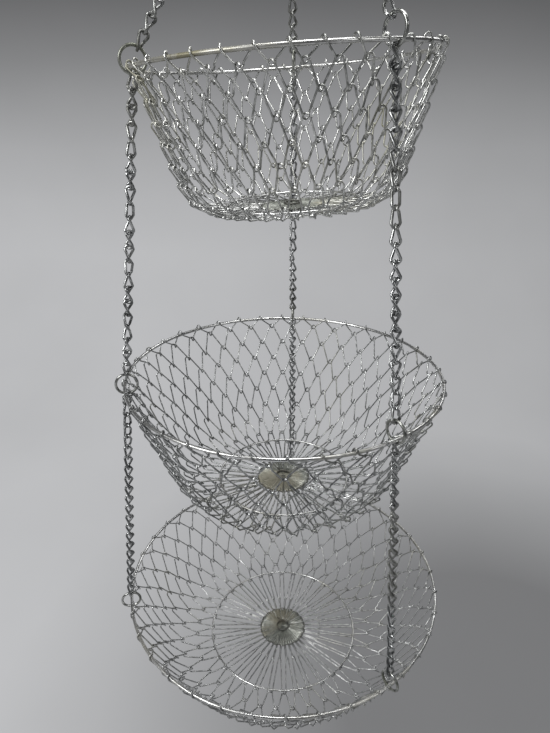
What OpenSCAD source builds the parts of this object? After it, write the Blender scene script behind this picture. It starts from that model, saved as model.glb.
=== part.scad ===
// Three-tier hanging fruit basket of galvanised steel wire.
// Three round wire-mesh baskets hang one under another on chains from a ring and an S-hook.
// The origin is the point inside the top of the S-hook that hangs on a ceiling fitting.
// X is to the right, Y is to the back, Z is up, and sizes are in millimetres.

/* [Baskets, top to bottom] */
// Rim radius of the top basket
top_rim_r = 105; // [90:1:115]
// Rim radius of the middle basket
middle_rim_r = 133; // [120:1:140]
// Rim radius of the bottom basket
bottom_rim_r = 152; // [145:1:165]
// Depth of the top basket
top_depth = 97; // [85:1:105]
// Depth of the middle basket
middle_depth = 109; // [95:1:115]
// Depth of the bottom basket
bottom_depth = 78; // [70:1:90]
// Radius of the ring that lies on the floor of the top basket
top_base_r = 50; // [44:1:52]
// Radius of the ring that lies on the floor of the middle basket
middle_base_r = 59; // [50:1:62]
// Radius of the ring that lies on the floor of the bottom basket
bottom_base_r = 76; // [66:1:84]
// How much the top basket leans, right side up, in degrees
top_lean = 3.7; // [0:0.1:5]

/* [Heights] */
// Height from the middle of the hang ring down to the top rim
leg_drop = 172; // [160:1:260]
// Height between the top and middle rims
upper_gap = 236; // [225:1:250]
// Height between the middle and bottom rims
lower_gap = 230; // [220:1:245]

/* [Wire] */
// Thickness of the rim wire
rim_wire = 2.8; // [2.4:0.1:3.2]
// Thickness of the floor ring wire
base_wire = 1.8; // [1.4:0.1:2.2]
// Thickness of the mesh wire
mesh_wire = 1.2; // [1:0.1:1.4]
// Number of diamonds round each basket
diamonds = 36; // [30:3:36]

/* [Chain] */
// Thickness of the chain link wire
link_wire = 1.8; // [1.6:0.1:2]
// Outer width of a chain link
link_w = 7.4; // [7:0.1:8]
// Number of links in each chain between two baskets
span_links = 21; // [19:2:23]
// Number of links in each chain above the top basket
leg_links = 17; // [16:1:18]
// Thickness of the split rings that join the chains to the rims
ring_wire = 1.9; // [1.7:0.1:2.1]
// Radius of those rings at the middle of their wire
ring_r = 8.4; // [8:0.1:9]

/* [Hanging parts] */
// Thickness of the S-hook wire
hook_wire = 3; // [2.5:0.1:3.5]
// Radius of each bowl of the S-hook
hook_r = 11; // [10:0.5:13]
// Thickness of the hang ring wire
hang_wire = 2.5; // [2:0.1:3]
// Radius of the hang ring
hang_r = 14; // [13:0.5:16]

/* [Hidden] */

// play between wires that hang in one another
play = 0.2;
// play where a chain turns in the wire above it
pivot_play = 0.3;
// directions of the three chains, seen from above: left, back and right
chain_angle = [195, 85, 305];

// heights of the hanging parts and the three rims
hook_top_z = -(hook_r - hook_wire / 2);
hook_low_z = hook_top_z - 2 * hook_r;
hang_z = hook_low_z - hook_r + hook_wire / 2 + hang_wire / 2 + play - hang_r;
rim_z = [hang_z - leg_drop, hang_z - leg_drop - upper_gap, hang_z - leg_drop - upper_gap - lower_gap];
rim_r = [top_rim_r, middle_rim_r, bottom_rim_r];
depth = [top_depth, middle_depth, bottom_depth];
base_r = [top_base_r, middle_base_r, bottom_base_r];
lean = [top_lean, 0, 0];
// steepness of each wall and the radius of its lower corner
wall_angle = [72.5, 68, 62];
corner_r = [28, 36, 30];
// mesh rows from the rim to the floor ring, after the short row that hooks over the rim
wall_rows = [8, 8, 7];
hook_row = 8;
spoke_share = 0.52;
hub_hold_r = 7.2;
spoke_ring_r = 20;
mesh_sides = 3;
// half the distance between the two layers of wire where rows hook into one another
mesh_stand = 0.8;
// how far each bend reaches past the place where the rows meet
lap = 1.2;
// facets cut the corners off a round wire, so a faceted wire is drawn a little thicker
facet_grow = 1.3;
floor_wire = 0.9;
// spokes lie in two layers at the hub, this far above and below its middle
spoke_stand = 0.5;
steel = [0.62, 0.63, 0.63];
dull_steel = [0.52, 0.53, 0.52];
bright_steel = [0.74, 0.75, 0.75];

function unit(v) = v / norm(v);
function spin(p, a) = [p[0] * cos(a) - p[1] * sin(a), p[0] * sin(a) + p[1] * cos(a), p[2]];
// a point at radius r and height z on the chain side at angle a
function at(r, z, a) = [r * cos(a), r * sin(a), z];
// a point of a basket, which leans about Y through the middle of its rim
function leaned(p, t) = [
  p[0] * cos(lean[t]) - p[2] * sin(lean[t]),
  p[1],
  p[0] * sin(lean[t]) + p[2] * cos(lean[t]) + rim_z[t]
];

// The side view of a wall: straight down from the rim, round a corner, then flat to the middle.
function wall_len(t) = (depth[t] - corner_r[t] * (1 - cos(wall_angle[t]))) / sin(wall_angle[t]);
function corner_len(t) = corner_r[t] * wall_angle[t] * PI / 180;
function floor_start_r(t) =
  rim_r[t] - wall_len(t) * cos(wall_angle[t]) - corner_r[t] * sin(wall_angle[t]);
// how steeply the wall falls at a distance s along it
function steep(t, s) =
  s < wall_len(t) ? wall_angle[t]
  : s < wall_len(t) + corner_len(t) ? wall_angle[t] - (s - wall_len(t)) / corner_r[t] * 180 / PI
  : 0;
function side(t, s) =
  s < wall_len(t) ? [rim_r[t] - s * cos(wall_angle[t]), -s * sin(wall_angle[t])]
  : s < wall_len(t) + corner_len(t) ? let (a = steep(t, s)) [
      floor_start_r(t) + corner_r[t] * sin(a),
      -depth[t] + corner_r[t] * (1 - cos(a))
    ]
  : [floor_start_r(t) - (s - wall_len(t) - corner_len(t)), -depth[t]];
// distance along the side to a radius on the floor
function floor_s(t, r) = wall_len(t) + corner_len(t) + floor_start_r(t) - r;
// where the mesh rows meet, as distances along the side from the rim
function joins(t) = concat(
  [0],
  [for (i = [0 : wall_rows[t]]) hook_row + (floor_s(t, base_r[t]) - hook_row) * i / wall_rows[t]],
  [floor_s(t, base_r[t] * spoke_share), floor_s(t, hub_hold_r)]
);
// a mesh point: distance s along the side, angle a, and how far it stands out from the wall
function mesh_point(t, s, a, out) =
  let (p = side(t, s), f = steep(t, s))
  leaned(at(p[0] + out * sin(f), p[1] - out * cos(f), a), t);
function mesh_normal(t, s, a) = let (f = steep(t, s)) at(sin(f), -cos(f), a);

// A closed wire of flat facets through points, each with a side direction that fixes its turn.
module closed_wire(points, sides_at, d, k) {
  n = len(points);
  verts = [
    for (i = [0 : n - 1])
      let (
        d1 = unit(points[i] - points[(i + n - 1) % n]),
        d2 = unit(points[(i + 1) % n] - points[i]),
        m = unit(d1 + d2),
        x = unit(sides_at[i] - (sides_at[i] * d1) * d1),
        y = cross(d1, x)
      )
      for (j = [0 : k - 1])
        let (a = 360 * j / k, v = (x * cos(a) + y * sin(a)) * d / 2)
        points[i] + v - d1 * (v * m) / (d1 * m)
  ];
  faces = [
    for (i = [0 : n - 1])
      for (j = [0 : k - 1])
        let (a = i * k, b = ((i + 1) % n) * k, e = (j + 1) % k)
        each [[a + j, b + j, b + e], [a + j, b + e, a + e]]
  ];
  polyhedron(points = verts, faces = faces, convexity = 10);
}

// how far a mitred bend sticks out past the middle of its wire, beyond half the wire
function mitre_reach(d, half) = 0.43 * d * (1 / sin(half) - 1);

// One row of the mesh: a zigzag wire whose upper bends lie outside the lower bends of the row above.
module mesh_row(t, row) {
  s = joins(t);
  step = 360 / diamonds;
  start = row % 2 == 0 ? 0 : step / 2;
  d = mesh_wire * facet_grow;
  half = atan(side(t, (s[row] + s[row + 1]) / 2)[0] * sin(step / 2) / (s[row + 1] - s[row]));
  reach = lap - mitre_reach(d, half);
  points = [
    for (i = [0 : diamonds - 1])
      let (a = start + i * step)
      each [
        mesh_point(t, s[row] - reach, a, mesh_stand),
        mesh_point(t, s[row + 1] + reach, a + step / 2, -mesh_stand)
      ]
  ];
  normals = [
    for (i = [0 : diamonds - 1])
      let (a = start + i * step)
      each [mesh_normal(t, s[row], a), mesh_normal(t, s[row + 1], a + step / 2)]
  ];
  color(dull_steel) closed_wire(points, normals, d, mesh_sides);
}

// The floor row: long narrow zigzags with blunt bends, from the floor ring to the ends of the spokes.
module floor_row(t) {
  row = wall_rows[t] + 1;
  s = joins(t);
  step = 360 / diamonds;
  start = row % 2 == 0 ? 0 : step / 2;
  blunt = 0.8;
  outer_turn = asin(blunt / base_r[t]);
  inner_turn = asin(blunt / (base_r[t] * spoke_share));
  points = [
    for (i = [0 : diamonds - 1])
      let (a = start + i * step)
      each [
        mesh_point(t, s[row] - lap, a - outer_turn, mesh_stand),
        mesh_point(t, s[row] - lap, a + outer_turn, mesh_stand),
        mesh_point(t, s[row + 1] + lap, a + step / 2 - inner_turn, -mesh_stand),
        mesh_point(t, s[row + 1] + lap, a + step / 2 + inner_turn, -mesh_stand)
      ]
  ];
  normals = [for (p = points) at(0, -1, 0)];
  color(dull_steel) closed_wire(points, normals, floor_wire * facet_grow, mesh_sides);
}

// Straight spokes from the hub to the floor row. They meet it in pairs.
module spokes(t) {
  step = 360 / diamonds;
  start = (wall_rows[t] % 2 == 0 ? 0 : step / 2);
  outer_r = base_r[t] * spoke_share + lap;
  color(dull_steel) in_basket(t) for (i = [0 : diamonds - 1], side_of = [-1, 1])
    let (
      a = start + i * step,
      p = at(hub_hold_r, side_of * spoke_stand - depth[t], a + side_of * step / 4),
      q = at(outer_r, -0.4 - depth[t], a) + spin([0, side_of * floor_wire * 0.7, 0], a),
      v = q - p
    )
    translate(p) rotate([0, acos(v[2] / norm(v)), atan2(v[1], v[0])])
      cylinder(h = norm(v), d = floor_wire, $fn = 16);
}

// The first row: each upper bend goes up outside the rim, over it and down inside.
module rim_hooks(t) {
  s = joins(t);
  step = 360 / diamonds;
  turn = 1.2;
  points = [
    for (i = [0 : diamonds - 1])
      let (a = i * step)
      each [
        leaned(at(rim_r[t] + 3.6, 0.3, a - turn), t),
        leaned(at(rim_r[t] - 2.2, 4, a + turn), t),
        mesh_point(t, s[1] + lap, a + step / 2, -mesh_stand)
      ]
  ];
  along = [
    for (i = [0 : diamonds - 1])
      let (a = i * step)
      each [spin([0, 1, 0], a), spin([0, 1, 0], a), spin([0, 1, 0], a + step / 2)]
  ];
  color(steel) closed_wire(points, along, mesh_wire * 1.15, mesh_sides);
}

module wall_mesh(t) {
  for (row = [1 : 4]) mesh_row(t, row);
}
module corner_mesh(t) {
  for (row = [5 : wall_rows[t]]) mesh_row(t, row);
}

module torus(r, d) {
  rotate_extrude($fn = 96) translate([r, 0]) circle(d = d, $fn = 24);
}
// puts a part that is drawn round the middle of a rim in its basket
module in_basket(t) {
  translate([0, 0, rim_z[t]]) rotate([0, -lean[t], 0]) children();
}
module rim(t) {
  color(bright_steel) in_basket(t) torus(rim_r[t], rim_wire);
}
// lies on the mesh, inside the basket
module base_ring(t) {
  lift = mesh_stand + mesh_wire / 2 + base_wire / 2 + play;
  color(steel) in_basket(t) translate([0, 0, lift - depth[t]]) torus(base_r[t], base_wire);
}
module spoke_ring(t) {
  lift = spoke_stand + floor_wire / 2 + mesh_wire / 2;
  color(dull_steel) in_basket(t) translate([0, 0, lift - depth[t]]) torus(spoke_ring_r, mesh_wire);
}
// the eyelet at the middle of the floor, whose two flanges hold the inner ends of the wires
module hub(t) {
  waist_r = hub_hold_r - play;
  flange_r = hub_hold_r + 1.6;
  gap = spoke_stand + floor_wire / 2 + play;
  sheet = 0.8;
  color(steel) in_basket(t) translate([0, 0, -depth[t]]) rotate_extrude($fn = 72) polygon([
    [waist_r - sheet, -gap - sheet],
    [flange_r, -gap - sheet],
    [flange_r, -gap],
    [waist_r, -gap],
    [waist_r, gap],
    [flange_r, gap],
    [flange_r, gap + sheet],
    [waist_r - sheet, gap + sheet]
  ]);
}

// Where a split ring sits on a rim. Its plane is upright and square to the rim.
// The rim rests low on its inner side and the next chain hangs from its lowest point.
// The rings of the bottom basket carry no chain, so that rim rests almost at their lowest point.
hang_side = 30;
ring_in = ring_r - ring_wire / 2 - rim_wire / 2 - play;
function rim_point(t, i) = leaned(at(rim_r[t], 0, chain_angle[i]), t);
function span_lean(t) = atan2(rim_r[t + 1] - rim_r[t], t == 0 ? upper_gap : lower_gap);
function seat_angle(t) = t < 2 ? 270 + span_lean(t) - hang_side : 272;
function ring_centre(t, i) =
  rim_point(t, i) - at(ring_in * cos(seat_angle(t)), ring_in * sin(seat_angle(t)), chain_angle[i]);
// a point on the wire of a split ring, at an angle in the ring's own plane
function on_ring(t, i, a) = ring_centre(t, i) + at(ring_r * cos(a), ring_r * sin(a), chain_angle[i]);
// the wire that a lower chain hangs on, and the wire that a chain above holds
function ring_low(t, i) = on_ring(t, i, 270 + span_lean(t));
function ring_high(t, i) = on_ring(t, i, 90 + span_lean(t - 1));
// a leg leans inward on its way up to the hang ring
leg_lean = atan2(top_rim_r, leg_drop);
function leg_end(i) = on_ring(0, i, 90 + leg_lean);
// the angles on the hang ring at which the legs hook in: left, back and right
leg_seat = [238, 272, 292];
function leg_start(i) = [hang_r * cos(leg_seat[i]), 0, hang_z + hang_r * sin(leg_seat[i])];

module split_ring(t, i) {
  translate(ring_centre(t, i)) rotate([90, 0, chain_angle[i]]) torus(ring_r, ring_wire);
}
module split_rings(t) {
  color(bright_steel) for (i = [0 : 2]) split_ring(t, i);
}

// Chain. The first link holds the wire at p and the last one the wire at q.
// held is the thickness of those two wires, one after the other.
function pitch(p, q, count, held) =
  (norm(q - p) + (held[0] + held[1]) / 2 + 2 * pivot_play - play) / count;
function link_centre(p, q, count, held, k) =
  let (step = pitch(p, q, count, held))
  p + unit(q - p) * ((step + play) / 2 - held[0] / 2 - pivot_play + k * step);
// the turn from the side direction a to the side direction b about the line v
function turn_about(v, a, b) = atan2(cross(a, b) * v, a * b);
function square_to(v, a) = unit(a - (a * v) * v);

// An oval link in the XZ plane: two half rounds and two straight sides.
module oval_link(len_in) {
  mid = (link_w - link_wire) / 2;
  straight = round(50 * (len_in - 2 * mid + link_wire)) / 50;
  for (s = [0, 180])
    rotate([0, s, 0]) translate([0, 0, straight / 2]) rotate([90, 0, 0])
      rotate_extrude(angle = 180, $fn = 48) translate([mid, 0]) circle(d = link_wire, $fn = 24);
  for (s = [-1, 1])
    translate([s * mid, 0, -straight / 2]) cylinder(h = straight, d = link_wire, $fn = 24);
}

// Links from to upto of a chain of count links. Each turns a quarter turn from the one before,
// and the rest of the turn between the wires at its two ends is shared along the chain.
module chain(p, q, count, held, side_p, side_q, from, upto) {
  v = unit(q - p);
  x0 = square_to(v, side_p);
  total = turn_about(v, x0, square_to(v, side_q));
  spare = total - 90 * (count - 1);
  rest = spare - 180 * round(spare / 180);
  step = pitch(p, q, count, held);
  color(steel) for (k = [from : upto]) {
    a = k * (90 + rest / (count - 1));
    y = x0 * cos(a) + cross(v, x0) * sin(a);
    x = cross(y, v);
    c = link_centre(p, q, count, held, k);
    multmatrix([
      [x[0], y[0], v[0], c[0]],
      [x[1], y[1], v[1], c[1]],
      [x[2], y[2], v[2], c[2]]
    ]) oval_link(step + play);
  }
}

// a chain above the top basket, from the hang ring to a split ring
module leg(i) {
  tangent = [-sin(leg_seat[i]), 0, cos(leg_seat[i])];
  ring_tangent = at(-sin(90 + leg_lean), cos(90 + leg_lean), chain_angle[i]);
  chain(leg_start(i), leg_end(i), leg_links, [hang_wire, ring_wire], tangent, ring_tangent, 0, leg_links - 1);
}
// links of the chain from basket t to the next one down
module span(t, i, from, upto) {
  side_dir = at(1, 0, chain_angle[i]);
  chain(
    ring_low(t, i), ring_high(t + 1, i), span_links, [ring_wire, ring_wire],
    side_dir, side_dir, from, upto
  );
}
module first_link(t, i) span(t, i, 0, 0);
module last_link(t, i) span(t, i, span_links - 1, span_links - 1);
module middle_of_span(t, i) span(t, i, 1, span_links - 2);

module hook_bowl(from) {
  rotate([90, 0, 0]) rotate([0, 0, from]) rotate_extrude(angle = 270, $fn = 96)
    translate([hook_r, 0]) circle(d = hook_wire, $fn = 32);
}
// An S of two bowls in the YZ plane that meet at its middle.
module hang_hook() {
  color(bright_steel) rotate([0, 0, 90]) {
    translate([0, 0, hook_top_z]) hook_bowl(-90);
    translate([0, 0, hook_low_z]) hook_bowl(90);
  }
}
// hangs in the lower bowl of the hook, square to it
module hang_ring() {
  color(bright_steel) translate([0, 0, hang_z]) rotate([90, 0, 0]) torus(hang_r, hang_wire);
}

hang_hook();
hang_ring();
leg(0);  // top_chain_left
leg(1);  // top_chain_back
leg(2);  // top_chain_right
rim(0);  // top_rim
split_rings(0);  // top_split_rings
rim_hooks(0);  // top_rim_hooks
wall_mesh(0);  // top_wall_mesh
corner_mesh(0);  // top_corner_mesh
floor_row(0);  // top_floor_mesh
spokes(0);  // top_spokes
base_ring(0);  // top_base_ring
spoke_ring(0);  // top_spoke_ring
hub(0);  // top_hub
first_link(0, 0);  // middle_first_link_left
first_link(0, 1);  // middle_first_link_back
first_link(0, 2);  // middle_first_link_right
middle_of_span(0, 0);  // middle_chain_left
middle_of_span(0, 1);  // middle_chain_back
middle_of_span(0, 2);  // middle_chain_right
last_link(0, 0);  // middle_last_link_left
last_link(0, 1);  // middle_last_link_back
last_link(0, 2);  // middle_last_link_right
rim(1);  // middle_rim
split_rings(1);  // middle_split_rings
rim_hooks(1);  // middle_rim_hooks
wall_mesh(1);  // middle_wall_mesh
corner_mesh(1);  // middle_corner_mesh
floor_row(1);  // middle_floor_mesh
spokes(1);  // middle_spokes
base_ring(1);  // middle_base_ring
spoke_ring(1);  // middle_spoke_ring
hub(1);  // middle_hub
first_link(1, 0);  // bottom_first_link_left
first_link(1, 1);  // bottom_first_link_back
first_link(1, 2);  // bottom_first_link_right
middle_of_span(1, 0);  // bottom_chain_left
middle_of_span(1, 1);  // bottom_chain_back
middle_of_span(1, 2);  // bottom_chain_right
last_link(1, 0);  // bottom_last_link_left
last_link(1, 1);  // bottom_last_link_back
last_link(1, 2);  // bottom_last_link_right
rim(2);  // bottom_rim
split_rings(2);  // bottom_split_rings
rim_hooks(2);  // bottom_rim_hooks
wall_mesh(2);  // bottom_wall_mesh
corner_mesh(2);  // bottom_corner_mesh
floor_row(2);  // bottom_floor_mesh
spokes(2);  // bottom_spokes
base_ring(2);  // bottom_base_ring
spoke_ring(2);  // bottom_spoke_ring
hub(2);  // bottom_hub
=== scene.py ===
import bpy
import numpy as np
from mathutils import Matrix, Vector


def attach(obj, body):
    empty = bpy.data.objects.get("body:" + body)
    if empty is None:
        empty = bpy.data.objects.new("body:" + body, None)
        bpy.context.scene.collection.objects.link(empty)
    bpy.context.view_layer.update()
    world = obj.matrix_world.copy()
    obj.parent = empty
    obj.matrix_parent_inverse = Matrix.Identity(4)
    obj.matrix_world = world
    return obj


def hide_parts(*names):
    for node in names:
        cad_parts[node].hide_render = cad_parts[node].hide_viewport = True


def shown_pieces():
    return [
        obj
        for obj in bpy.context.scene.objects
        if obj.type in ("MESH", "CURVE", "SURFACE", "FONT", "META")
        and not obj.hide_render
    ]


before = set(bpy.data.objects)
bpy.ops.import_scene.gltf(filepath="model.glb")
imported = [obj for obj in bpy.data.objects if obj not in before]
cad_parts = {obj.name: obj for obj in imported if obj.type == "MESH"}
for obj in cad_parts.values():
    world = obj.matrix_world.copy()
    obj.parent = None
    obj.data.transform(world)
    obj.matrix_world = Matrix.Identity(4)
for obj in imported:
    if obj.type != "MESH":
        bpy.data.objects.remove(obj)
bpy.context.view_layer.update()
print("frame loaded,", len(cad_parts), "nodes")


def sind(a):
    return np.sin(np.radians(a))


def cosd(a):
    return np.cos(np.radians(a))


def unit(v):
    v = np.asarray(v, float)
    return v / np.linalg.norm(v, axis=-1, keepdims=True)


# Lengths of the object are in millimetres and angles in degrees, as in the part's source.
tierNames = ["top", "middle", "bottom"]
sideNames = ["left", "back", "right"]
# rim: radius of the rim. base: radius of the ring on the floor. slope: of the wall.
# corner: radius between wall and floor. rows: of wire between the rim hooks and the floor.
basketShapes = {
    "top": {
        "rim": 105, "depth": 97, "base": 50, "slope": 72.5, "corner": 28, "rows": 8, "lean": 3.7,
    },
    "middle": {
        "rim": 133, "depth": 109, "base": 59, "slope": 68, "corner": 36, "rows": 8, "lean": 0,
    },
    "bottom": {
        "rim": 152, "depth": 78, "base": 76, "slope": 62, "corner": 30, "rows": 7, "lean": 0,
    },
}
hanging = {
    "legDrop": 172,  # from the hanging ring down to the top rim
    "gaps": [236, 230],  # from rim to rim
    "hookR": 11, "hookWire": 3,
    "hangR": 14, "hangWire": 2.5,  # the ring that gathers the three top chains
    "ringR": 8.4, "ringWire": 1.9,  # the split rings, as the solids have them
    "rimWire": 2.8,
    "play": 0.2, "pivotPlay": 0.3,  # gaps between wires, and where one turns in another
    "chainAngles": [195, 85, 305],  # where the chains hang, seen from above
    "legSeats": [238, 272, 292],  # where the top chains hang, counted round the hanging ring
    "ringSeats": [302, 292, 272],  # where each rim lies in its rings, counted round the ring
    "legLinks": 17, "spanLinks": 21,
}
hangZ = (
    hanging["hookWire"] - 4 * hanging["hookR"] + hanging["hangWire"] / 2
    + hanging["play"] - hanging["hangR"]
)
rimHeights = np.cumsum([hangZ - hanging["legDrop"]] + [-g for g in hanging["gaps"]])
for tier, rimHeight in zip(tierNames, rimHeights):
    basketShapes[tier]["z"] = float(rimHeight)


def spot(r, z, a):  # a point at radius r and height z on the side at angle a
    r, z, a = np.broadcast_arrays(np.asarray(r, float), z, a)
    return np.stack([r * cosd(a), r * sind(a), z], -1)


def leaned(p, b):  # a point of a basket, in the part's own frame
    c, s = cosd(b["lean"]), sind(b["lean"])
    x, y, z = p[..., 0], p[..., 1], p[..., 2]
    return np.stack([x * c - z * s, y, x * s + z * c + b["z"]], -1)


def metres(points):
    return (np.asarray(points) / 1000).tolist()


def newPiece(name, points, faces):
    mesh = bpy.data.meshes.new(name)
    mesh.from_pydata(points, [], faces)
    mesh.polygons.foreach_set("use_smooth", [True] * len(faces))
    piece = bpy.data.objects.new(name, mesh)
    bpy.context.scene.collection.objects.link(piece)
    return piece


# Nearly every piece here is drawn wire, so one sweep makes them.
sweepStart = [0.31, 0.17, 0.93]  # a direction that no wire starts in


def sweep(path, radius, facets, closed):
    path = np.asarray(path, float)
    n = len(path)
    if closed:
        tangent = unit(np.roll(path, -1, 0) - np.roll(path, 1, 0))
    else:
        tangent = unit(np.gradient(path, axis=0))
    normals = [unit(np.cross(tangent[0], sweepStart))]
    for i in range(1, n):
        m = normals[-1] - (normals[-1] @ tangent[i]) * tangent[i]
        normals.append(m / np.linalg.norm(m))
    normals = np.array(normals)
    side = np.cross(tangent, normals)
    turn = np.zeros(n)
    if closed:  # the twist left over at the seam is shared along the wire
        last = unit(normals[-1] - (normals[-1] @ tangent[0]) * tangent[0])
        turn = -np.arctan2(last @ side[0], last @ normals[0]) * np.arange(n) / n
    angle = np.arange(facets) * 2 * np.pi / facets + turn[:, None]
    ring = np.cos(angle)[..., None] * normals[:, None] + np.sin(angle)[..., None] * side[:, None]
    points = (path[:, None] + ring * radius).reshape(-1, 3)
    rows = np.arange(n if closed else n - 1)
    i, j = np.meshgrid(rows, np.arange(facets), indexing="ij")
    here, beside = i * facets, (j + 1) % facets
    ahead = ((i + 1) % n) * facets
    quads = np.stack([here + j, here + beside, ahead + beside, ahead + j], -1).reshape(-1, 4)
    caps = []
    if not closed:
        caps = [list(range(facets))[::-1], list(range((n - 1) * facets, n * facets))]
    return points, quads, caps


def wires(name, paths, thickness, facets, closed):  # one piece of one or more wires
    if not isinstance(closed, list):
        closed = [closed] * len(paths)
    points, faces, start = [], [], 0
    for path, isClosed in zip(paths, closed):
        p, quads, caps = sweep(path, thickness / 2, facets, isClosed)
        faces += (quads + start).tolist() + [[v + start for v in cap] for cap in caps]
        points.append(p)
        start += len(p)
    return newPiece(name, metres(np.concatenate(points)), faces)


def standsFor(piece, body, slot, *cad):
    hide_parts(*cad)
    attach(piece, body)


# Mesh: each row is a flattened coil, hooked through the bends of the row above.
meshLook = {
    "wire": 1.25, "facets": 8,
    "turns": 36,  # zigzags round a basket
    "hookRow": 8,  # how far below the rim the hooks meet the first row of the wall
    "layer": 1.7,  # half the distance between the two legs of a bend, through the wall
    "floorLayer": 0.74,  # the same where the mesh lies flat
    "overlap": 1.0,  # how far top bends stand out from the bottom bends that they hold
    "bendWidth": 2.0,  # half width of a bend
    "bendShare": 0.2,  # the most of the room for one turn that this may take
    "bendReach": 1.9,  # how far a bend reaches past the place where two rows meet
    "floorReach": 0.75,  # the share of that reach which is left on the floor
    "bendFoot": 0.9,  # how far before that place a bend starts
    "bendPoints": 11,
    "hookArc": (200, -20),  # a rim hook runs over the rim between these angles
    "hookWidth": 1.7,  # half width of a rim hook
    "hookPlay": 0.1,
    "hookPoints": 13,
    "hookLift": (1.2, 1.9),  # how high the rim hooks stand, as a share of a tight hook
    "stray": 0.35, "strayMost": 1.2,  # how far a crossing strays from its place
    "strayGrowth": (0.6, 1.5),  # at the rim and at the floor
    "floorCalm": 0.4,  # the share of it that is left where the spokes hold the mesh
    "drift": 0.5,  # how far whole stretches of a row lean sideways
    "driftWaves": (1, 2, 4),  # how many times round a basket
    "driftTurn": 6.3,  # where these waves may start, in radians
    "dent": 4.4, "dentWidth": 8,  # where a chain leans on the wall: depth, and width in degrees
    "dentRows": [0, 1, 1, 0.6, 0.25],  # shares of the dent, from the rim down
    "wallRows": 4,  # rows that count as the wall, before the corner
    "seed": 11,
}
spokeLook = {
    "wire": 1.05, "facets": 6,
    "share": 0.52,  # where the spokes meet the mesh, as a share of the ring on the floor
    "hubHold": 7.2, "inHub": 0.6,  # where the hub holds them, and how far they reach into it
    "stand": 0.5,  # how far the two ends of a wire lie above and below the hub
    # the bend at the far end
    "tipReach": 1.2, "tipBack": 0.6, "tipLow": 0.3, "tipDip": 0.5, "tipWidth": 0.75, "tipPoints": 9,
}
chance = np.random.default_rng(meshLook["seed"])


def sidePoint(b, s):  # radius, height and steepness at a distance s from the rim, and the reach
    alpha, rho = b["slope"], b["corner"]
    wall = (b["depth"] - rho * (1 - cosd(alpha))) / sind(alpha)
    corner = rho * np.radians(alpha)
    flat = b["rim"] - wall * cosd(alpha) - rho * sind(alpha)
    s = np.asarray(s, float)
    steep = np.clip(alpha - np.degrees((s - wall) / rho), 0, alpha)
    r = np.where(s < wall, b["rim"] - s * cosd(alpha), flat + rho * sind(steep))
    r = np.where(s > wall + corner, flat - (s - wall - corner), r)
    z = np.where(s < wall, -s * sind(alpha), rho * (1 - cosd(steep)) - b["depth"])
    return r, z, steep, wall + corner + flat


def onWall(b, s, a, out):  # a point that stands out from the wall at distance s and angle a
    r, z, steep, _ = sidePoint(b, s)
    return leaned(spot(r + out * sind(steep), z - out * cosd(steep), a), b)


def joinDistances(b):  # where the rows meet
    reach, first = sidePoint(b, 0)[3], meshLook["hookRow"]
    rows = first + (reach - b["base"] - first) * np.arange(b["rows"] + 1) / b["rows"]
    return np.concatenate([[0], rows, [reach - b["base"] * spokeLook["share"]]])


def bend(b, s, a, down, sway):  # half a turn of wire where a row hooks into the next
    look = meshLook
    r, _, steep, _ = sidePoint(b, s)
    upright = steep / b["slope"]
    layer = look["floorLayer"] + (look["layer"] - look["floorLayer"]) * upright
    way = 1 if down else -1
    stand = -look["overlap"] * upright * way + sway[2] * upright
    width = min(look["bendWidth"], look["bendShare"] * 2 * np.pi * r / look["turns"])
    reach = look["bendReach"] * (look["floorReach"] + (1 - look["floorReach"]) * upright)
    phi = np.linspace(0, 180, look["bendPoints"])
    across = -width * cosd(phi) + sway[1]
    along = ((reach + look["bendFoot"]) * sind(phi) - look["bendFoot"]) * way + sway[0]
    return onWall(b, s + along, a + np.degrees(across / r), layer * cosd(phi) * way + stand)


def rimBend(b, a, lift):  # half a turn of wire over the rim
    psi = np.linspace(*meshLook["hookArc"], meshLook["hookPoints"])
    hold = hanging["rimWire"] / 2 + meshLook["wire"] / 2 + meshLook["hookPlay"]
    across = np.linspace(-meshLook["hookWidth"], meshLook["hookWidth"], meshLook["hookPoints"])
    height = hold * np.where(sind(psi) > 0, lift, 1) * sind(psi)
    return leaned(spot(b["rim"] + hold * cosd(psi), height, a + np.degrees(across / b["rim"])), b)


def rowPath(b, row, joins, sway, lifts):
    turns = meshLook["turns"]
    step = 360 / turns
    start = 0 if row % 2 == 0 else step / 2
    path = []
    for i in range(turns):
        a = start + i * step
        if row == 0:
            path.append(rimBend(b, a, lifts[i]))
        else:
            path.append(bend(b, joins[row], a, False, sway[row][i]))
        below = (i + row % 2) % turns
        path.append(bend(b, joins[row + 1], a + step / 2, True, sway[row + 1][below]))
    return np.concatenate(path)


def crossingSways(tier, joins):  # how far each crossing lies off its place: down, along and out
    look, turns = meshLook, meshLook["turns"]
    loose = np.linspace(*look["strayGrowth"], len(joins))[:, None, None]
    sway = chance.normal(0, look["stray"], (len(joins), turns, 3))
    sway = sway.clip(-look["strayMost"], look["strayMost"]) * loose
    around = np.arange(turns) * 2 * np.pi / turns
    for k in range(2, len(joins) - 1):  # the first row hangs true, and the rows below lean
        for wave in look["driftWaves"]:
            amount = chance.normal(0, look["drift"]) / wave
            sway[k, :, 1] += amount * np.sin(wave * around + chance.uniform(0, look["driftTurn"]))
    sway[-1] *= look["floorCalm"]
    if tier != "bottom":  # no chain passes the bottom basket
        for chainAngle in hanging["chainAngles"]:
            for k, share in enumerate(look["dentRows"]):
                places = (np.arange(turns) + 0.5 * (k % 2)) * 360 / turns
                off = (places - chainAngle + 180) % 360 - 180
                sway[k, :, 2] -= look["dent"] * share * np.exp(-((off / look["dentWidth"]) ** 2))
    return sway


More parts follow.
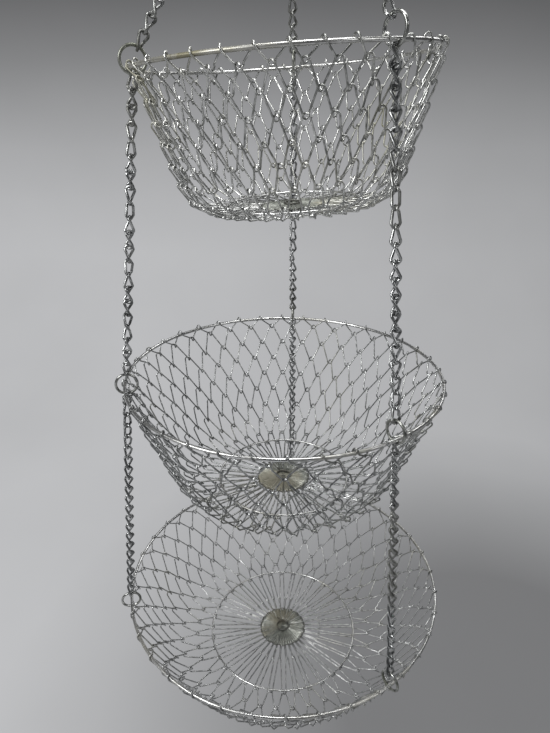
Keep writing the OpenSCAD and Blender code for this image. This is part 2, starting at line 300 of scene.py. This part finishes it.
def spokePaths(b):  # each spoke wire runs out from the hub, round a bend and back
    look = spokeLook
    step = 360 / meshLook["turns"]
    start = 0 if b["rows"] % 2 == 0 else step / 2
    tipR, floor = b["base"] * look["share"], -b["depth"]
    hub = [look["hubHold"] - look["inHub"]]
    turn = np.linspace(0, 180, look["tipPoints"])
    paths = []
    for i in range(meshLook["turns"]):
        a = start + i * step
        r = tipR + look["tipReach"] * sind(turn) - look["tipBack"]
        height = floor - look["tipLow"] - look["tipDip"] * sind(turn)
        tip = spot(r, height, a - np.degrees(look["tipWidth"] * cosd(turn) / tipR))
        below = spot(hub, floor - look["stand"], a - step / 4)
        above = spot(hub, floor + look["stand"], a + step / 4)
        paths.append(leaned(np.concatenate([below, tip, above]), b))
    return paths


for tier in tierNames:
    b, body = basketShapes[tier], tier + "_tier"
    joins = joinDistances(b)
    sway = crossingSways(tier, joins)
    lifts = chance.uniform(*meshLook["hookLift"], meshLook["turns"])
    rows = [rowPath(b, k, joins, sway, lifts) for k in range(b["rows"] + 2)]
    corner = 1 + meshLook["wallRows"]
    parts = [
        ("RimHooks", rows[:1], "rim_hooks"), ("WallMesh", rows[1:corner], "wall_mesh"),
        ("CornerMesh", rows[corner:-1], "corner_mesh"), ("FloorMesh", rows[-1:], "floor_mesh"),
    ]
    for label, paths, cad in parts:
        piece = wires(tier + label, paths, meshLook["wire"], meshLook["facets"], True)
        standsFor(piece, body, "mesh_wire", f"{tier}_{cad}")
    piece = wires(tier + "Spokes", spokePaths(b), spokeLook["wire"], spokeLook["facets"], False)
    standsFor(piece, body, "mesh_wire", f"{tier}_spokes")
    print("mesh of the", tier, "basket made")


# Middle of each floor: the spokes run together into a tinned, pleated disc, held by a wire ring.
hubLook = {
    "inner": 0.6, "outer": 23.4, "thick": 0.5,
    "rise": 0.9, "stand": 0.5,  # height of its middle over its edge, and of its edge over the floor
    "folds": 54, "pleat": 0.8,
    "uneven": 0.45, "unevenMost": 0.7,  # how much folds differ in height
    "lean": 1.0, "leanMost": 1.6,  # and in direction near the middle
    "foldGrowth": 0.6,  # how soon folds deepen from the middle out
    "foldPoints": 6, "rings": 9,
    "seed": 5,
}
hubRingLook = {
    "radius": 6.0, "wire": 1.7, "facets": 10,
    "stand": 2.2,  # height of its wire over the floor
    "loop": 350, "loopPoints": 40, "wave": 0.3,  # it is a little open and not quite flat
    "tailAngle": 122,  # the side on which the end of the wire points outwards
    "tail": 5.0, "tailFrom": 0.35, "tailBack": 10, "tailBend": 1.5, "tailStand": 0.5,
    "tailPoints": 6,
}
spokeRingLook = {
    "radius": 23.8, "wire": 0.9, "facets": 8,
    "stand": 0.2, "wave": 0.9, "waves": 17, "wavePoints": 12,  # it runs over and under the spokes
}
foldChance = np.random.default_rng(hubLook["seed"])


def foldsDiffer(amount, most):  # one draw for each fold
    drawn = foldChance.normal(0, amount, hubLook["folds"]).clip(-most, most)
    return np.repeat(drawn, hubLook["foldPoints"])


def pleatedDisc(name, b):
    look = hubLook
    n, rings = look["folds"] * look["foldPoints"], look["rings"]
    a = np.arange(n) * 360 / n
    r = np.linspace(look["inner"], look["outer"], rings)[:, None]
    share = r / look["outer"]
    wave = look["pleat"] * cosd(np.arange(n) * 360 / look["foldPoints"])
    wave = wave + foldsDiffer(look["uneven"], look["unevenMost"])
    angle = a + foldsDiffer(look["lean"], look["leanMost"]) * (1 - share)
    height = look["rise"] * (1 - share) + wave * share ** look["foldGrowth"]
    height = height + look["stand"] - b["depth"]
    sheets = [leaned(spot(r, h, angle), b).reshape(-1, 3) for h in (height, height - look["thick"])]
    under, last = rings * n, (rings - 1) * n
    faces = []
    for i in range(rings - 1):
        for j in range(n):
            k, m = i * n + j, i * n + (j + 1) % n
            faces.append((k, k + n, m + n, m))
            faces.append((k + under, m + under, m + n + under, k + n + under))
    for k in range(n):
        m = (k + 1) % n
        faces.append((k, m, m + under, k + under))
        faces.append((k + last, k + last + under, m + last + under, m + last))
    return newPiece(name, metres(np.concatenate(sheets)), faces)


def hubRingPath(b):  # not quite a full turn, and a tail that lies across it
    look = hubRingLook
    turn = np.linspace(0, look["loop"], look["loopPoints"]) + look["tailAngle"]
    high = look["stand"] - b["depth"]
    loop = spot(look["radius"], high + look["wave"] * sind(turn), turn)
    out = np.linspace(look["tailFrom"], 1, look["tailPoints"]) * look["tail"]
    tailAngle = look["tailAngle"] - look["tailBack"] + look["tailBend"] * out
    tail = spot(look["radius"] + out, high + look["tailStand"], tailAngle)
    return leaned(np.concatenate([loop, tail]), b)


def spokeRingPath(b):
    look = spokeRingLook
    n = look["waves"] * look["wavePoints"]
    turn = np.arange(n) * 360 / n
    height = look["stand"] - b["depth"] + look["wave"] * sind(look["waves"] * turn)
    return leaned(spot(look["radius"], height, turn), b)


for tier in tierNames:
    b, body = basketShapes[tier], tier + "_tier"
    disc = pleatedDisc(tier + "HubDisc", b)
    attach(disc, body)
    for label, look, path, closed, cad in (
        ("HubRing", hubRingLook, hubRingPath(b), False, "_hub"),
        ("SpokeRing", spokeRingLook, spokeRingPath(b), True, "_spoke_ring"),
    ):
        ring = wires(tier + label, [path], look["wire"], look["facets"], closed)
        standsFor(ring, body, "floor_wire", tier + cad)
print("middles of the floors made")


# Chains: each link is an oval wire with a twist, so that the links lie much the same way.
linkLook = {
    "wire": 2.0, "width": 8.0, "facets": 10, "steps": 40,
    "twist": 58,  # how far each end of a link is turned from its middle
    "twistDone": 0.5,  # where on the round end the twist is complete
    # whole chains turn slowly too: extra half turns, and a turn that comes and goes
    "halfTurns": {
        "legLeft": 1, "legBack": 1, "legRight": 1, "middleLeft": 4, "middleBack": 0,
        "middleRight": 1, "bottomLeft": -1, "bottomBack": 0, "bottomRight": 0,
    },
    "bow": {"bottomLeft": -50, "bottomBack": -40},
}
openLinkLook = {  # one link is bent open
    "at": ("middle", "back", 5),  # tier, side and place counted from below
    "start": 8, "gap": 3,  # where the wire is cut, and how many of its points are left out
    "points": 12, "curve": 1.5,  # how much of the wire is pulled out, and how it curves
    "way": [-1.0, -0.15, -0.35], "pull": 4.2,
}


def spanLean(k):
    rims = [basketShapes[t]["rim"] for t in tierNames]
    return np.degrees(np.arctan2(rims[k + 1] - rims[k], hanging["gaps"][k]))


def ringCentre(k, i):
    b, a = basketShapes[tierNames[k]], hanging["chainAngles"][i]
    hold = hanging["ringR"] - hanging["ringWire"] / 2 - hanging["rimWire"] / 2 - hanging["play"]
    seat = hanging["ringSeats"][k]
    return leaned(spot(b["rim"], 0, a), b) - spot(hold * cosd(seat), hold * sind(seat), a)


def onRing(k, i, turn):
    r, a = hanging["ringR"], hanging["chainAngles"][i]
    return ringCentre(k, i) + spot(r * cosd(turn), r * sind(turn), a)


def chainLinks(p, q, count, held, faceP, faceQ, run):  # centre lines of the links from p to q
    v = unit(q - p)
    wire, play, loose = linkLook["wire"], hanging["play"], hanging["pivotPlay"]
    step = (np.linalg.norm(q - p) + sum(held) / 2 + 2 * loose - play) / count
    y = unit(faceP - (faceP @ v) * v)
    x = np.cross(y, v)
    faceQ = unit(faceQ - (faceQ @ v) * v)
    total = np.degrees(np.arctan2(np.cross(y, faceQ) @ v, y @ faceQ))
    bent = linkLook["twist"]
    rest = (total + 2 * bent) % 180 + 180 * linkLook["halfTurns"][run]
    bow = linkLook["bow"].get(run, 0)
    w = (linkLook["width"] - wire) / 2
    inside = step + play
    h = inside / 2 - (w - wire / 2)
    turn = np.linspace(-90, 90, linkLook["steps"] // 2)
    half = np.stack([w * sind(turn), h + w * cosd(turn)], -1)  # one end, then the other
    oval = np.concatenate([half, -half])
    twist = -bent * np.clip(oval[:, 1] / (h + w * linkLook["twistDone"]), -1, 1)
    links = []
    for k in range(count):
        mid = p + v * (inside / 2 - held[0] / 2 - loose + k * step)
        # v points down the chain, so a link's lower end has the larger height here
        share = k / (count - 1)
        a = rest * share + bow * np.sin(np.pi * share) - bent + twist
        flat = oval[:, :1] * (cosd(a)[:, None] * x + sind(a)[:, None] * np.cross(v, x))
        links.append(mid + flat + oval[:, 1:] * v)
    return links


def bentOpen(link):  # the wire of a link with one end pulled out to the side
    look = openLinkLook
    path = np.roll(link, -look["start"], 0)[: len(link) - look["gap"]]
    pull = np.linspace(0, 1, look["points"]) ** look["curve"]
    path[-look["points"]:] += pull[:, None] * unit(look["way"]) * look["pull"]
    return path


def drawLinks(name, links, body, cad, openAt=None):
    closed = [True] * len(links)
    if openAt is not None:
        links[openAt], closed[openAt] = bentOpen(links[openAt]), False
    piece = wires(name, links, linkLook["wire"], linkLook["facets"], closed)
    standsFor(piece, body, "chain_wire", cad)


legLean = np.degrees(np.arctan2(basketShapes["top"]["rim"], hanging["legDrop"]))
for i, side in enumerate(sideNames):
    a, seat, r = hanging["chainAngles"][i], hanging["legSeats"][i], hanging["hangR"]
    top = np.array([r * cosd(seat), 0, hangZ + r * sind(seat)])
    upper = 90 + legLean
    links = chainLinks(
        top, onRing(0, i, upper), hanging["legLinks"], [hanging["hangWire"], hanging["ringWire"]],
        np.array([-sind(seat), 0, cosd(seat)]), spot(-sind(upper), cosd(upper), a),
        "leg" + side.title(),
    )
    drawLinks("topChain" + side.title(), links, "top_tier", "top_chain_" + side)
    out = spot(1, 0, a)
    for k, tier in enumerate(tierNames[1:]):
        lean = 270 + spanLean(k)
        links = chainLinks(
            onRing(k, i, lean), onRing(k + 1, i, lean - 180), hanging["spanLinks"],
            [hanging["ringWire"]] * 2, out, out, tier + side.title(),
        )
        parts = [
            ("First", links[:1], "first_link"), ("Span", links[1:-1], "chain"),
            ("Last", links[-1:], "last_link"),
        ]
        for label, some, cad in parts:
            isOpen = label == "Span" and (tier, side) == openLinkLook["at"][:2]
            drawLinks(
                tier + label + side.title(), some, f"{tier}_{label.lower()}_{side}",
                f"{tier}_{cad}_{side}", len(some) - openLinkLook["at"][2] if isOpen else None,
            )
ringLook = {"wire": 2.2, "facets": 12, "steps": 64}
around = np.arange(ringLook["steps"]) * 360 / ringLook["steps"]
for k, tier in enumerate(tierNames):
    paths = [onRing(k, i, around) for i in range(len(sideNames))]
    piece = wires(tier + "SplitRings", paths, ringLook["wire"], ringLook["facets"], True)
    standsFor(piece, tier + "_tier", "rim_wire", tier + "_split_rings")
print("chains and rings made")


# Materials
class Socket:  # a node's output, with Python's own signs for Math nodes
    def __init__(self, graph, out):
        self.graph, self.out = graph, out

    def math(self, operation, other=None, swap=False):
        pair = [self] if other is None else ([other, self] if swap else [self, other])
        return self.graph.add("ShaderNodeMath", {"operation": operation}, dict(enumerate(pair)))

    def __add__(self, other):
        return self.math("ADD", other)

    def __sub__(self, other):
        return self.math("SUBTRACT", other)

    def __rsub__(self, other):
        return self.math("SUBTRACT", other, swap=True)

    def __mul__(self, other):
        return self.math("MULTIPLY", other)

    def __truediv__(self, other):
        return self.math("DIVIDE", other)

    def __rtruediv__(self, other):
        return self.math("DIVIDE", other, swap=True)

    __radd__, __rmul__ = __add__, __mul__

    def clamp(self):
        return self.math("MAXIMUM", 0.0).math("MINIMUM", 1.0)


class Graph:
    def __init__(self, name):
        self.material = bpy.data.materials.new(name)
        self.material.use_nodes = True
        self.tree = self.material.node_tree
        self.tree.nodes.clear()

    def add(self, kind, settings=None, inputs=None, out=0):
        node = self.tree.nodes.new(kind)
        for key, value in (settings or {}).items():
            if key == "stops":
                ramp = node.color_ramp
                while len(ramp.elements) < len(value):
                    ramp.elements.new(0.5)
                for element, (place, shade) in zip(ramp.elements, value):
                    element.position = place
                    element.color = (shade, shade, shade, 1)
            else:
                setattr(node, key, value)
        for key, value in (inputs or {}).items():
            if isinstance(value, Socket):
                self.tree.links.new(value.out, node.inputs[key])
            else:
                node.inputs[key].default_value = value
        return Socket(self, node.outputs[out]) if len(node.outputs) else None

    def noise(self, where, scale, detail, rough=0.5):
        inputs = {"Vector": where, "Scale": scale, "Detail": detail, "Roughness": rough}
        return self.add("ShaderNodeTexNoise", None, inputs)

    def ramp(self, value, stops):
        return self.add("ShaderNodeValToRGB", {"stops": stops}, {0: value})

    def mix(self, amount, first, second):  # colours here have three numbers
        colours = {k: c if isinstance(c, Socket) else (*c, 1) for k, c in ((6, first), (7, second))}
        return self.add("ShaderNodeMix", {"data_type": "RGBA"}, {0: amount, **colours}, 2)

    def distance(self, where, middle):
        settings = {"operation": "DISTANCE"}
        return self.add("ShaderNodeVectorMath", settings, {0: where, 1: middle}, "Value")

    def finish(self, shader):
        self.add("ShaderNodeOutputMaterial", None, {0: shader})
        return self.material


# bright and dull: the two colours of the zinc. spots: middle, reach and depth of old stains.
zincLooks = {
    "rim": {
        "bright": (0.74, 0.745, 0.74), "dull": (0.4, 0.4, 0.385), "stain": (0.24, 0.225, 0.155),
        "stained": 0.4, "rough": 0.22, "metal": 1.0,
        "spots": [((-0.055, -0.09, -0.226), 0.07, 0.9), ((0.1, 0.03, -0.215), 0.03, 0.6)],
    },
    # the top basket's wire: the same zinc as the middle basket's, in lighter colours as painted
    # light; its spots are real stains
    "topMesh": {
        "bright": (0.68, 0.685, 0.67), "dull": (0.23, 0.235, 0.225), "stain": (0.25, 0.24, 0.155),
        "stained": 0.35, "rough": 0.24, "metal": 1.0,
        "spots": [((0.075, 0.04, -0.27), 0.05, 0.9), ((-0.09, -0.03, -0.24), 0.03, 0.7)],
    },
    "ring": {
        "bright": (0.55, 0.555, 0.54), "dull": (0.13, 0.135, 0.125), "stain": (0.14, 0.15, 0.1),
        "stained": 0.6, "rough": 0.2, "metal": 1.0, "spots": [],
    },
    # the bottom basket's wire: the same zinc again, in lighter colours as painted light
    "bottomMesh": {
        "bright": (0.6, 0.605, 0.6), "dull": (0.27, 0.275, 0.275), "stain": (0.27, 0.26, 0.18),
        "stained": 0.3, "rough": 0.3, "metal": 1.0, "spots": [],
    },
    # the middle basket's wire: the darkest of the three copies of one zinc, its darker colours
    # painted shade
    "mesh": {
        "bright": (0.52, 0.53, 0.525), "dull": (0.17, 0.175, 0.175), "stain": (0.2, 0.19, 0.13),
        "stained": 0.35, "rough": 0.24, "metal": 1.0, "spots": [],
    },
    "chain": {
        "bright": (0.5, 0.51, 0.51), "dull": (0.12, 0.124, 0.124), "stain": (0.13, 0.125, 0.09),
        "stained": 0.4, "rough": 0.2, "metal": 1.0, "spots": [((0.08, -0.1, -0.31), 0.03, 0.7)],
    },
    "disc": {
        "bright": (0.4, 0.41, 0.375), "dull": (0.21, 0.22, 0.195), "stain": (0.31, 0.28, 0.2),
        "stained": 0.6, "rough": 0.38, "metal": 0.7, "spots": [],
    },
    "iron": {
        "bright": (0.2, 0.2, 0.18), "dull": (0.07, 0.072, 0.065), "stain": (0.12, 0.1, 0.06),
        "stained": 0.5, "rough": 0.4, "metal": 0.8, "spots": [],
    },
}
zincGrain = {
    # patterns, each with scale and detail
    "broad": (28.0, 4.0), "patch": (240.0, 3.0), "fine": (1500.0, 2.0), "stains": (15.0, 5.0, 0.62),
    "patchShare": 0.6, "broadShare": 0.4,
    "worn": [(0.38, 0.0), (0.58, 1.0)],
    "stainFrom": 0.51, "stainEdge": 8.0, "spotStrength": 1.6,
    # what dull, scratched and stained places add to the roughness, and a stain takes off the shine
    "dullRough": 0.2, "fineRough": 0.1, "stainRough": 0.25, "polish": 0.05, "stainMetal": 0.45,
    "bump": 0.25, "bumpDepth": 0.0001, "patchBump": 0.7, "fineBump": 0.3,
}


def zinc(name, look):  # galvanised steel: dull crystals, handling marks and a little old stain
    g, grain = Graph(name), zincGrain
    where = g.add("ShaderNodeTexCoord", None, None, "Object")
    broad, patch, fine = [g.noise(where, *grain[key]) for key in ("broad", "patch", "fine")]
    worn = g.ramp(patch * grain["patchShare"] + broad * grain["broadShare"], grain["worn"])
    colour = g.mix(worn, look["dull"], look["bright"])
    stain = (g.noise(where, *grain["stains"]) - grain["stainFrom"]) * grain["stainEdge"]
    stain = stain.clamp() * look["stained"]
    for middle, reach, depth in look["spots"]:
        near = (1.0 - g.distance(where, middle) / reach).clamp()
        stain = (stain + near * depth * patch * grain["spotStrength"]).clamp()
    colour = g.mix(stain, colour, look["stain"])
    rough = (1.0 - worn) * grain["dullRough"] + fine * grain["fineRough"] + look["rough"]
    rough = rough - grain["polish"] + stain * grain["stainRough"]
    height = patch * grain["patchBump"] + fine * grain["fineBump"]
    bumpInputs = {"Strength": grain["bump"], "Distance": grain["bumpDepth"], "Height": height}
    shader = g.add("ShaderNodeBsdfPrincipled", None, {
        "Base Color": colour, "Metallic": (1.0 - stain * grain["stainMetal"]) * look["metal"],
        "Roughness": rough, "Normal": g.add("ShaderNodeBump", None, bumpInputs),
    })
    return g.finish(shader)


zincs = {key: zinc("galvanised " + key, look) for key, look in zincLooks.items()}
finishWords = [  # the first of these words in a piece's name gives its finish
    ("HubDisc", "disc"), ("Hub", "iron"), ("SpokeRing", "iron"),
    ("Chain", "chain"), ("First", "chain"), ("Span", "chain"), ("Last", "chain"),
    ("SplitRings", "ring"), ("hang_", "rim"), ("_rim", "rim"), ("_base_ring", "rim"),
    # each basket's mesh takes its own copy of the zinc, lighter or darker as painted light and
    # shade
    ("top", "topMesh"), ("bottom", "bottomMesh"), ("middle", "mesh"),
]


def coat(piece, material):
    piece.data.materials.clear()
    piece.data.materials.append(material)


for piece in list(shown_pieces()):
    coat(piece, zincs[next(finish for word, finish in finishWords if word in piece.name)])
print("materials made")


# Backdrop: a grey sheet that runs from the floor up behind the baskets, with painted light and
# shade on its grey. It is in metres.
studio = {
    "floorZ": -1.25, "wallY": 1.9, "wallTop": 5, "bendR": 0.8, "bendPoints": 25,
    "halfWidth": 4.0, "front": -3.2,
    "tint": (1.0, 1.008, 1.03), "level": 1.1, "rough": 0.9,  # colour and strength of the sheet
    "shown": 0.8,  # how much of the sheet's brightness owes nothing to the lamps: a glow that shows its painted light and shade
    "top": 0.2,  # the stops of painted light by height, darker towards the top, run from here to a metre below
    "height": [(0.1, 0.145), (0.3, 0.235), (0.43, 0.31), (0.61, 0.4), (0.8, 0.46), (1.0, 0.5)],
    "sideFall": 0.55, "sideFrom": 0.3, "paintedSideShade": 0.2,  # painted shade, darker towards the right
    "shade": (0.42, 0.25, -1.25),  # middle of a painted shade on the floor, on the right
    "shadeFall": [(0.3, 0.42), (0.4, 0.52), (0.5, 0.63), (0.6, 0.73), (0.75, 0.88), (0.95, 1.0)],
    "cloud": (2.2, 3.0), "cloudDepth": 0.12, "cloudBase": 0.94,  # a little unevenness
}


def sheetPiece():
    wallY, floorZ, bendR = studio["wallY"], studio["floorZ"], studio["bendR"]
    profile = [(studio["front"], floorZ)]
    for t in np.linspace(0, 90, studio["bendPoints"]):
        profile.append((wallY - bendR * (1 - sind(t)), floorZ + bendR * (1 - cosd(t))))
    profile.append((wallY, floorZ + studio["wallTop"]))
    sides, n = (-studio["halfWidth"], studio["halfWidth"]), len(profile)
    points = [(x, y, z) for x in sides for y, z in profile]
    return newPiece("backdrop", points, [(i, i + 1, i + 1 + n, i + n) for i in range(n - 1)])


def paperWithPaintedLight():
    g = Graph("grey paper")
    place = g.add("ShaderNodeTexCoord", None, None, "Object")
    across, height = [g.add("ShaderNodeSeparateXYZ", None, {0: place}, way) for way in "XZ"]
    # painted light: the sheet darkens towards the top
    light = g.ramp(studio["top"] - height, studio["height"])
    # painted shade: the sheet darkens towards the right
    rightShade = (across * studio["sideFall"] + studio["sideFrom"]).clamp() * studio["paintedSideShade"]
    light = light * (1.0 - rightShade)
    # painted shade on the floor at the right, fading with distance from its middle
    light = light * g.ramp(g.distance(place, studio["shade"]), studio["shadeFall"])
    cloud = g.noise(place, *studio["cloud"]) * studio["cloudDepth"] + studio["cloudBase"]
    grey = g.mix(light * cloud * studio["level"], (0, 0, 0), studio["tint"])
    paperInputs = {"Base Color": grey, "Roughness": studio["rough"]}
    paper = g.add("ShaderNodeBsdfPrincipled", None, paperInputs)
    # the glow shows the painted light and shade to camera and glossy rays
    glow = g.add("ShaderNodeEmission", None, {"Color": grey, "Strength": 1.0})
    seen = g.add("ShaderNodeLightPath", None, None, "Is Camera Ray")
    seen = seen.math("MAXIMUM", g.add("ShaderNodeLightPath", None, None, "Is Glossy Ray"))
    both = {0: seen * studio["shown"], 1: paper, 2: glow}
    return g.finish(g.add("ShaderNodeMixShader", None, both))


backdrop = sheetPiece()
coat(backdrop, paperWithPaintedLight())

lamps = {  # places in metres, power in watts
    "key": {"at": (-1.25, -0.9, 0.6), "aim": (0, 0, -0.3), "size": 0.9, "power": 24},
    "fill": {"at": (1.4, -1.1, 0.4), "aim": (0, 0, -0.35), "size": 0.8, "power": 5},
    "over": {"at": (0.1, 0.0, 0.9), "aim": (0, 0, -0.3), "size": 0.7, "power": 12},
    "rear": {"at": (0.9, 1.3, 0.8), "aim": (0, 0, -0.3), "size": 0.8, "power": 7},
}
for name, lamp in lamps.items():
    light = bpy.data.lights.new(name, "AREA")
    light.shape, light.size, light.energy = "DISK", lamp["size"], lamp["power"]
    holder = bpy.data.objects.new(name, light)
    bpy.context.scene.collection.objects.link(holder)
    holder.location = lamp["at"]
    aim = Vector(lamp["at"]) - Vector(lamp["aim"])
    holder.rotation_euler = aim.to_track_quat("Z", "Y").to_euler()

room = {"colour": (0.62, 0.64, 0.68, 1), "strength": 0.09}
world = bpy.data.worlds.new("room")
bpy.context.scene.world = world
world.use_nodes = True
world.node_tree.nodes["Background"].inputs["Color"].default_value = room["colour"]
world.node_tree.nodes["Background"].inputs["Strength"].default_value = room["strength"]

camera = {
    "x": -7.0, "y": -436.0, "aboveTopRim": -28.6, "pitch": 24.93, "roll": 0.15,
    "focal": 561.5, "frameHeight": 733,  # both in picture points
    "sensor": 36, "near": 0.01, "far": 30,
}
cameraData = bpy.data.cameras.new("camera")
cameraData.sensor_fit, cameraData.sensor_width = "AUTO", camera["sensor"]
cameraData.lens = camera["focal"] / camera["frameHeight"] * camera["sensor"]
cameraData.clip_start, cameraData.clip_end = camera["near"], camera["far"]
cameraHolder = bpy.data.objects.new("camera", cameraData)
bpy.context.scene.collection.objects.link(cameraHolder)
cameraZ = basketShapes["top"]["z"] + camera["aboveTopRim"]
cameraHolder.location = metres([camera["x"], camera["y"], cameraZ])
cameraHolder.rotation_euler = (np.radians(90 - camera["pitch"]), np.radians(camera["roll"]), 0)
bpy.context.scene.camera = cameraHolder
bpy.context.scene.view_settings.view_transform = "Standard"

print("stage, lamps and camera set")
